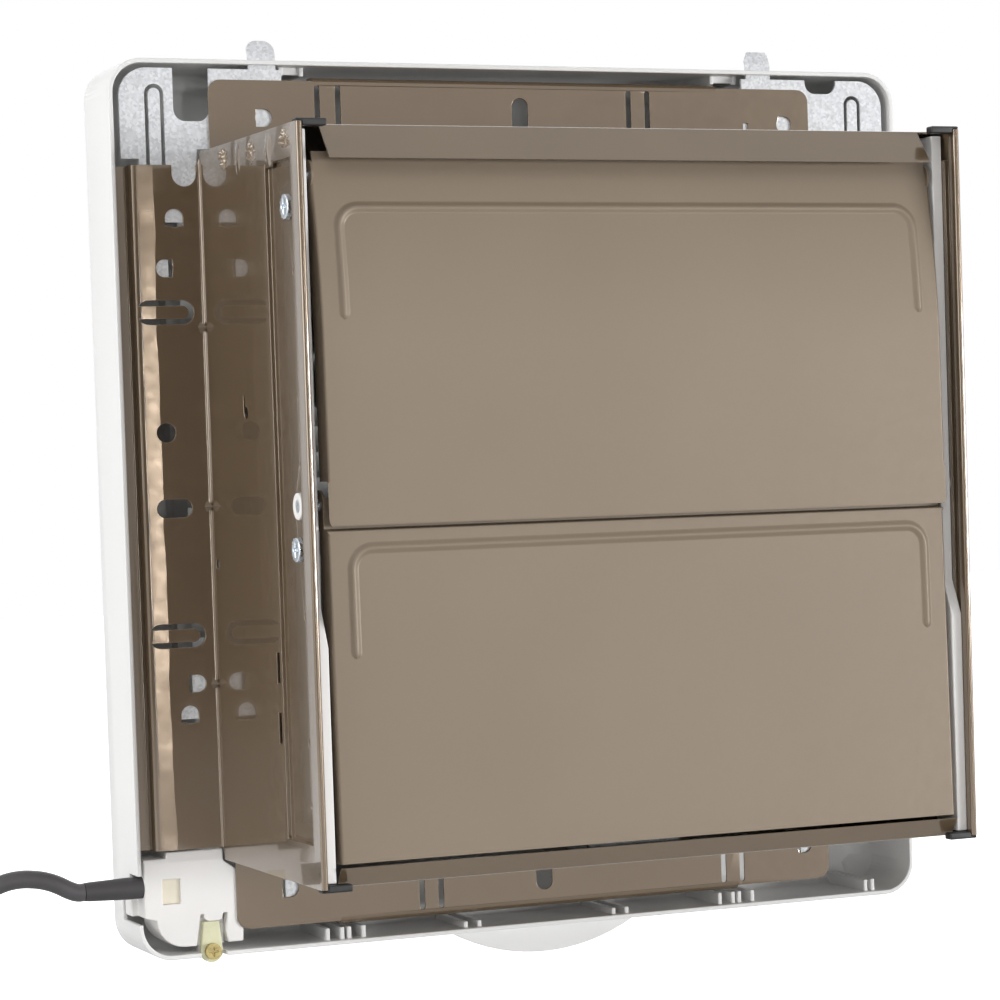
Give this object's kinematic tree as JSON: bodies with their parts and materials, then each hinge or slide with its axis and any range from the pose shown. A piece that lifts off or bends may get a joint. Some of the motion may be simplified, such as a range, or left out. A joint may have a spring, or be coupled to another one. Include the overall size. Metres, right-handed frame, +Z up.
{
  "type": "wall exhaust fan",
  "caption": "Square wall exhaust fan with a painted steel sleeve, gravity shutters that open together, a bladed wheel on a capacitor motor, a white room cover on hooks and a mains lead.",
  "frame": {"origin": "centre of the two side mounting slots, on the outdoor face of the flange that meets the wall", "axes": "+Z up, +Y into the room, +X to the right for someone standing outdoors facing the shutters"},
  "size_m": [0.3903, 0.141, 0.46],
  "materials": {
    "painted_sheet": "glossy dark brown baked enamel on thin sheet steel",
    "painted_blade": "satin taupe enamel on thin sheet",
    "zinc_sheet": "galvanised sheet with a fine spangle",
    "zinc_hardware": "bright zinc plating",
    "bright_steel": "ground steel",
    "core_steel": "stacked laminations",
    "motor_casing": "pressed steel with grey paint",
    "winding": "enamelled copper wire, varnished",
    "bronze": "sintered bronze",
    "brass": "bright brass",
    "white_plastic": "moulded, semi gloss",
    "wheel_plastic": "moulded, semi gloss",
    "beige_plastic": "moulded, matt",
    "clamp_plastic": "natural nylon",
    "dark_plastic": "moulded, matt",
    "black_rubber": "matt",
    "cord_black": "matt vinyl sheath",
    "cord_grey": "matt vinyl sheath",
    "lead_insulation": "vinyl insulation"
  },
  "bodies": {
    "sleeve": {"side_plate_left": "painted_sheet", "side_plate_right": "painted_sheet", "top_plate": "painted_sheet", "bottom_plate": "painted_sheet", "hook_bracket_left": "zinc_sheet", "hook_bracket_right": "zinc_sheet", "shutter_rail_left": "white_plastic", "shutter_rail_right": "white_plastic", "rail_screws": "zinc_hardware", "edge_caps": "black_rubber", "orifice_plate": "white_plastic", "orifice_collar": "white_plastic", "motor_strap": "zinc_sheet", "strap_screws": "zinc_hardware", "motor_bolts": "zinc_hardware", "motor_rear_shell": "motor_casing", "motor_front_shell": "motor_casing", "stator_core": "core_steel", "stator_winding": "winding", "rear_bearing": "bronze", "front_bearing": "bronze", "capacitor": "dark_plastic", "capacitor_leads": "lead_insulation", "capacitor_clip": "zinc_sheet", "motor_lead": "cord_grey", "lead_grommet": "black_rubber", "terminal_block": "white_plastic", "terminal_insert": "beige_plastic", "cord_clamp": "clamp_plastic", "clamp_screw": "brass", "cord_sleeve": "cord_black", "power_cord": "cord_black", "cord_coil": "cord_black", "cord_tie": "dark_plastic", "plug_body": "cord_black", "plug_pins": "brass", "actuator_housing": "beige_plastic", "actuator_rivets": "zinc_hardware", "return_spring": "bright_steel"},
    "wheel": {"rotor_core": "core_steel", "rotor_shaft": "bright_steel", "fan_wheel": "wheel_plastic", "drive_pin": "bright_steel", "spinner_nut": "white_plastic"},
    "upper_blade": {"upper_shutter": "painted_blade", "upper_hinge_pins": "bright_steel"},
    "lower_blade": {"lower_shutter": "painted_blade", "lower_hinge_pins": "bright_steel"},
    "link": {"shutter_link": "zinc_sheet"},
    "plunger": {"actuator_plunger": "bright_steel"},
    "cover": {"cover_frame": "white_plastic", "front_grille": "white_plastic"}
  },
  "joints": [
    {"name": "wheel_spin", "type": "hinge", "parent": "sleeve", "child": "wheel", "pos_m": [0, 0, 0], "axis": [0, 1, 0], "continuous": true},
    {"name": "upper_blade_hinge", "type": "hinge", "parent": "sleeve", "child": "upper_blade", "pos_m": [0, -0.0905, 0.106], "axis": [-1, 0, 0], "range_deg": [0, 60]},
    {"name": "lower_blade_hinge", "type": "hinge", "parent": "sleeve", "child": "lower_blade", "pos_m": [0, -0.0905, 0.0003], "axis": [-1, 0, 0], "range_deg": [0, 60]},
    {"name": "link_swing", "type": "hinge", "parent": "upper_blade", "child": "link", "pos_m": [0, -0.0765, 0.106], "axis": [-1, 0, 0], "range_deg": [-60, 0]},
    {"name": "plunger_slide", "type": "slide", "parent": "sleeve", "child": "plunger", "axis": [0, 0, -1], "range_m": [0, 0.0122], "deforming": ["return_spring"]},
    {"name": "cover_swing", "type": "hinge", "parent": "sleeve", "child": "cover", "pos_m": [0, 0.0014, 0.153], "axis": [1, 0, 0], "range_deg": [0, 30]}
  ],
  "couplings": [
    {"joint": "lower_blade_hinge", "follows": "upper_blade_hinge", "ratio": 1},
    {"joint": "link_swing", "follows": "upper_blade_hinge", "ratio": -1},
    {"joint": "plunger_slide", "follows": "upper_blade_hinge", "m_per_rad": 0.01158}
  ]
}
